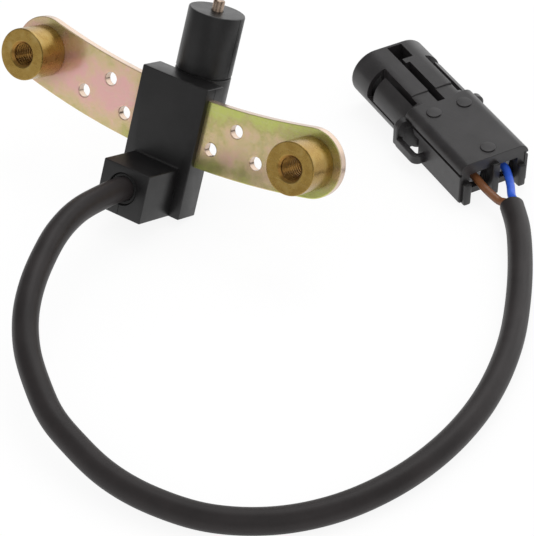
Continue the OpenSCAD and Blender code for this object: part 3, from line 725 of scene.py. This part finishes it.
SHEATH_SIDES, SHEATH_STEPS, SHEATH_WALL, SHEATH_RECESS = 40, 260, 0.0007, 0.0016
sheath_mesh = tube("cable", ROUTE, CABLE_R, SHEATH_SIDES, SHEATH_STEPS, sheath)
corners = [v.co.copy() for v in sheath_mesh.vertices]
centreline = [sum(corners[i * SHEATH_SIDES:(i + 1) * SHEATH_SIDES], Vector()) / SHEATH_SIDES
              for i in range(SHEATH_STEPS)]
cable_end = centreline[-1]
cable_aim = (centreline[-1] - centreline[-2]).normalized()

# The sheath is cut square at its far end, and the cores come out of the recess.
shape = bmesh.new()
shape.from_mesh(sheath_mesh)
shape.faces.ensure_lookup_table()
cap = min((f for f in shape.faces if len(f.verts) > 4), key=lambda f: (f.calc_center_median() - cable_end).length)
bmesh.ops.inset_region(shape, faces=[cap], thickness=SHEATH_WALL, use_even_offset=True)
hollow = bmesh.ops.extrude_face_region(shape, geom=[cap])["geom"]
bmesh.ops.translate(shape, verts=[v for v in hollow if isinstance(v, bmesh.types.BMVert)],
                    vec=-cable_aim * SHEATH_RECESS)
if cap.is_valid:
    shape.faces.remove(cap)
bmesh.ops.recalc_face_normals(shape, faces=shape.faces)
shape.to_mesh(sheath_mesh)
shape.free()
cable = piece("cable_sheath", sheath_mesh, Matrix.Identity(4), sheath, 50)
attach(cable, "root")
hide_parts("cable")

# Cores: stranded copper in coloured plastic, one brown and one blue. They fan
# out of the sheath and run into the two ways of the connector.
PLUG = (Matrix.Translation((0.06898, 0.05164, -0.00036)) @ Matrix.Rotation(math.radians(153.8), 4, "Z")
        @ Matrix.Rotation(math.radians(-3), 4, "Y") @ Matrix.Rotation(math.radians(-3.2), 4, "X")
        @ Matrix.Scale(0.001, 4))
WIRE_R, CORE_OUT, CORE_SPREAD, CORE_LAP, WAY_Y, WAY_Z = 0.00115, 0.00135, 0.00145, 0.0015, 4.6, 7.0
to_side = cable_aim.cross(Vector((0, 0, 1))).normalized()


def core_finish(name, deep, bright):
    """Smooth coloured plastic over one core."""
    finish, tree, shader, spot = finish_start(name)
    marks = use_effect(tree, handling, {"Vector": spot, "Size": 0.0025})
    tree.links.new(ramp(tree, marks.outputs["Cloud"], [(0.3, deep), (0.7, bright)]), shader.inputs["Base Color"])
    dulled(tree, shader, marks.outputs["Cloud"], 0.26, 0.38)
    skin = use_effect(tree, grain, {"Vector": spot, "Grain": 0.0004})
    relief(tree, shader, skin.outputs["Height"], 1.5e-5, 0.4)
    return finish


for name, node, side, fan, deep, bright in (
        ("core_brown", "brown_wire", 1, ((-8.2, 3.4, 5.7), (-4.4, 4.2, 6.2), (-1, 4.55, 6.7)),
         (0.14, 0.052, 0.020), (0.20, 0.080, 0.032)),
        ("core_blue", "blue_wire", -1, ((-8.2, -0.7, 5.6), (-4.4, -2.7, 5.9), (-1, -4.1, 6.4)),
         (0.022, 0.085, 0.52), (0.035, 0.125, 0.66))):
    way = [cable_end - to_side * side * CORE_OUT - cable_aim * CORE_LAP,
           cable_end - to_side * side * CORE_OUT,
           cable_end - to_side * side * CORE_SPREAD + cable_aim * CORE_LAP]
    way += [PLUG @ Vector(p) for p in (*fan, (1.2, side * WAY_Y, WAY_Z), (3.2, side * WAY_Y, WAY_Z))]
    finish = core_finish(node.replace("_wire", "_core"), deep, bright)
    core = piece(name, tube(name, way, WIRE_R, 20, 48, finish), Matrix.Identity(4), finish, 60)
    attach(core, "root")
    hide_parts(node)

# Contacts and seals: a tinned pin crimped on each core, behind a soft ribbed
# sleeve that is pushed into the way with it.
POCKET, SEAL_L, WAY_END, PIN_R, CRIMP_R, PIN_TIP, SEAL_R = 3.2, 5.0, 18.4, 1.2, 1.8, 46.5, 3.2
TO_X = Matrix.Rotation(math.radians(90), 4, "Y")
tin = metal("contact_tin", (0.60, 0.58, 0.53), (0.76, 0.74, 0.70), (0.22, 0.34), (600, 600, 3000), 2e-5)
seal_grey = moulded("seal_grey", (0.30, 0.31, 0.32), (0.40, 0.41, 0.42), (0.5, 0.62), 0.0002, 2e-5)
pin_line = [(0, POCKET + SEAL_L), (CRIMP_R - 0.2, POCKET + SEAL_L), (CRIMP_R, POCKET + SEAL_L + 0.2)]
for x in (9.6, 11.8, 14.0):
    pin_line += [(CRIMP_R, x), (CRIMP_R - 0.25, x + 0.3), (CRIMP_R - 0.25, x + 0.7), (CRIMP_R, x + 1.0)]
pin_line += [(CRIMP_R, WAY_END - 1.2), (CRIMP_R - 0.2, WAY_END - 1), (PIN_R, WAY_END - 1), (PIN_R, PIN_TIP - 1.2),
             (PIN_R - 0.25, PIN_TIP - 0.6), (0.6, PIN_TIP - 0.12), (0.4, PIN_TIP), (0, PIN_TIP)]
seal_line = [(0, POCKET), (SEAL_R - 0.7, POCKET), (SEAL_R - 0.55, POCKET + 0.1)]
for i in range(3):
    for step, out in ((0.2, 0.45), (0.5, 0.12), (0.75, 0.0), (1.0, 0.12), (1.3, 0.45)):
        seal_line.append((SEAL_R - out, POCKET + i * 1.6 + step + 0.1))
seal_line += [(SEAL_R - 0.7, POCKET + SEAL_L), (0, POCKET + SEAL_L)]
fittings = []
for colour, side in (("brown", 1), ("blue", -1)):
    seat = PLUG @ Matrix.Translation((0, side * WAY_Y, WAY_Z)) @ TO_X
    contact = piece("contact_" + colour, turned(pin_line, 40), seat, tin)
    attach(contact, "root")
    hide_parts(colour + "_contact")
    seal = piece("seal_" + colour, turned(seal_line, 48), seat, seal_grey, 60)
    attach(seal, "root")
    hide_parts(colour + "_seal")
    fittings += [contact, seal]

# Connector: a black two-way housing in one moulding. A square rear body with a
# groove down each side runs into an oval shroud, which has a key slot on top,
# a spring tongue in each flank and a latch loop beside the body.
BODY_L, PLUG_L, PLUG_HALF, PLUG_FLOOR, PLUG_TOP, EDGE_R = 28.4, 55.7, 10.9, 1.5, 14.2, 3.0
SHROUD_FROM, STEP_AT, HOLLOW_FROM = 25.5, 32.5, 31.4
SHROUD_HALF, SHROUD_TOP, SHROUD_R, WALL = 11.95, 14.6, 7.25, 1.5
SLOT_FROM, SLOT_TO, SLOT_HALF, SLOT_FLOOR, BEAM_HALF = 27.4, 46.2, 1.2, 9.8, 3.6
NOTCH_FROM, NOTCH_LOW, NOTCH_HIGH, NOTCH_FLOOR = 48.2, -3.4, 1.2, 9.8
WINDOW_FROM, WINDOW_TO, TONGUE_TO, RAIL_IN, RAIL_OUT = 29.4, 47.0, 44.2, 6.4, 7.6
GATE_HALF, GATE_TOP, GATE_L = 9.9, 11.8, 2.2
PAST_SIDE, PAST_TOP = 14.0, 17
housing_black = moulded("connector_plastic", (0.016, 0.0145, 0.015), (0.023, 0.021, 0.022), (0.30, 0.40),
                        0.0003, 3e-5)


def arc(cx, cy, radius, first, last, steps):
    """Points of an arc between two angles in degrees."""
    angles = [math.radians(first + (last - first) * i / steps) for i in range(steps + 1)]
    return [(cx + radius * math.cos(a), cy + radius * math.sin(a)) for a in angles]


def oval(half, low, high, corner):
    """A rounded section across the connector, as (side, height) points."""
    side, up, down = half - corner, high - corner, low + corner
    return (arc(side, up, corner, 0, 90, 14) + arc(-side, up, corner, 90, 180, 14)
            + arc(-side, down, corner, 180, 270, 14) + arc(side, down, corner, 270, 360, 14))


def mirrored(points, side):
    """Points seen from above, laid to one side of the connector."""
    return [(a, side * b) for a, b in points]


flank = arc(PLUG_HALF - EDGE_R, PLUG_TOP - EDGE_R, EDGE_R, 90, 4, 9)
flank += [(PLUG_HALF - 0.6, 11.3), (PLUG_HALF - 0.6, 10.6), (PLUG_HALF, 10.45), (PLUG_HALF, PLUG_FLOOR + 0.5),
          (PLUG_HALF - 0.5, PLUG_FLOOR)]
rear_body = prism(flank + [(-y, z) for y, z in reversed(flank)], 0, BODY_L, "X", 0.15)
shell = [prism(oval(SHROUD_HALF - 0.3, 0, PLUG_TOP, SHROUD_R - 0.2), SHROUD_FROM, STEP_AT + 0.5),
         prism(oval(SHROUD_HALF, 0, SHROUD_TOP, SHROUD_R), STEP_AT, PLUG_L, "X", 0.35)]
for x, y in ((23.5, 4.9), (23.5, -4.9), (3.8, 0)):
    shell.append(moved(turned([(0, -1), (2.1, -1), (2.1, 0.22), (2.0, 0.33), (1.85, 0.36), (0, 0.36)], 40),
                       Matrix.Translation((x, y, PLUG_TOP))))
hollow = prism(oval(SHROUD_HALF - WALL, WALL, SHROUD_TOP - WALL, SHROUD_R - WALL), HOLLOW_FROM, PLUG_L + 1)
inside = [soft_box((HOLLOW_FROM - 0.4, -BEAM_HALF, SLOT_FLOOR - 1.2), (PLUG_L - 0.4, BEAM_HALF, SHROUD_TOP - 0.6), 0)]
notch = [(NOTCH_FROM, NOTCH_FLOOR), (53.9, NOTCH_FLOOR), (54.6, SHROUD_TOP - 0.5), (54.9, PAST_TOP),
         (NOTCH_FROM, PAST_TOP)]
cut = [soft_box((SLOT_FROM, -SLOT_HALF, SLOT_FLOOR), (SLOT_TO, SLOT_HALF, PAST_TOP), 0.15),
       soft_box((SLOT_TO - 0.3, 0.1, 11.4), (NOTCH_FROM + 0.2, SLOT_HALF, PAST_TOP), 0),
       prism(notch, NOTCH_LOW, NOTCH_HIGH, "Y"),
       soft_box((-1, -GATE_HALF, 0), (GATE_L, GATE_HALF, GATE_TOP), 0)]
tongues = []
LOOP_REAR, LOOP_FRONT, LOOP_OUT, LOOP_LOW, LOOP_TOP, EAR_FROM, EAR_TOP = 17.65, 29.25, 3.3, 3.05, 5.9, 27.1, 11.15
ROOM_FROM, ROOM_IN, ROOM_TOP = 21.0, 6.6, 8.8
loops = []
for side in (-1, 1):
    near, far = sorted((side * RAIL_IN, side * RAIL_OUT))
    inside.append(soft_box((HOLLOW_FROM - 0.4, near, WALL + 0.2), (PLUG_L - 2.3, far, SHROUD_TOP - WALL - 0.2), 0))
    near, far = sorted((side * (RAIL_OUT - 0.06), side * PAST_SIDE))
    cut.append(soft_box((WINDOW_FROM, near, 6.2), (WINDOW_TO, far, PAST_TOP), 0.2))
    near, far = sorted((side * 6.5, side * 8.0))
    cut.append(soft_box((WINDOW_FROM + 0.06, near, 10.4), (WINDOW_TO - 0.06, far, 16.8), 0.15))
    centre_y, centre_z = SHROUD_HALF - SHROUD_R, SHROUD_TOP - SHROUD_R
    skin = (arc(centre_y, centre_z, SHROUD_R - 0.25, -9, 62, 14) + arc(centre_y, centre_z, SHROUD_R - 1.6, 62, -9, 14))
    tongues.append(prism([(side * y, z) for y, z in skin], WINDOW_FROM - 1.3, TONGUE_TO, "X", 0.2))
    for start, end, radius, sides in ((POCKET - 0.02, WAY_END, SEAL_R, 48),
                                      (WAY_END - 0.6, HOLLOW_FROM + 1, PIN_R, 36)):
        cut.append(moved(turned([(0, start), (radius, start), (radius, end), (0, end)], sides),
                         Matrix.Translation((0, side * WAY_Y, WAY_Z)) @ TO_X))
    near, far = sorted((side * 1.3, side * 8.4))
    cut.append(soft_box((GATE_L - 0.1, near, 3.4), (POCKET, far, 11.4), 0))
    inner, outer = PLUG_HALF - 0.5, PLUG_HALF + LOOP_OUT
    strap = [(LOOP_REAR, inner), (LOOP_FRONT, inner), *arc(LOOP_FRONT - 2.2, outer - 2.2, 2.2, 0, 90, 7),
             *arc(LOOP_REAR + 2.2, outer - 2.2, 2.2, 90, 180, 7)]
    gap = [(LOOP_REAR + 1.25, inner - 2), (EAR_FROM + 0.12, inner - 2),
           *arc(EAR_FROM - 0.78, outer - 2.4, 0.9, 0, 90, 5), *arc(LOOP_REAR + 2.15, outer - 2.4, 0.9, 90, 180, 5)]
    loops.append(built(prism(mirrored(strap, side), LOOP_LOW, LOOP_TOP, "Z", 0.3), (),
                       [prism(mirrored(gap, side), LOOP_LOW - 1, LOOP_TOP + 1, "Z")]))
    ear = [(inner, LOOP_LOW + 0.05), *arc(outer - 0.65, LOOP_LOW + 0.65, 0.6, -90, 0, 3),
           *arc(outer - 2.55, EAR_TOP - 2.5, 2.5, 0, 90, 9), (inner, EAR_TOP)]
    loops.append(prism([(side * y, z) for y, z in ear], EAR_FROM + 0.05, LOOP_FRONT - 0.05, "X", 0.3))
    near, far = sorted((side * ROOM_IN, side * PAST_SIDE))
    cut.append(soft_box((ROOM_FROM, near, -1), (EAR_FROM, far, ROOM_TOP), 0.2))
    scoop = [(23.2, ROOM_TOP - 0.4), (24.8, 11.6), (EAR_FROM - 0.06, 11.6), (EAR_FROM - 0.06, ROOM_TOP - 0.4)]
    near, far = sorted((side * (PLUG_HALF - 1.2), side * 13.8))
    cut.append(prism(scoop, near, far, "Y"))
housing = built(built(built(rear_body, shell, [hollow]), inside, cut), tongues + loops)
housing = piece("connector_housing", housing, PLUG, housing_black)
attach(housing, "root")
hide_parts("connector")

# Rear lock: a black comb pressed into the back of the housing, which keeps the
# contacts from backing out of their ways.
lock_black = moulded("lock_plastic", (0.012, 0.0112, 0.0115), (0.018, 0.017, 0.0175), (0.32, 0.42), 0.0003, 3e-5)
LOCK_BACK, LOCK_BAR = -1.4, 0.2
prongs = [soft_box((LOCK_BACK, -1.1, 1.6), (GATE_L, 1.1, GATE_TOP), 0.4, 3)]
for side in (-1, 1):
    near, far = sorted((side * (GATE_HALF - 2.3), side * GATE_HALF))
    prongs.append(soft_box((LOCK_BACK, near, 1.0), (GATE_L, far, 8.2), 0.6, 3))
    prongs.append(soft_box((LOCK_BAR, near, 7.4), (GATE_L, far, GATE_TOP - 0.5), 0.1))
lock = built(soft_box((LOCK_BAR, -GATE_HALF, GATE_TOP - 1.6), (GATE_L, GATE_HALF, GATE_TOP), 0.2), prongs)
lock = piece("connector_lock", lock, PLUG, lock_black)
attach(lock, "root")
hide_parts("rear_lock")
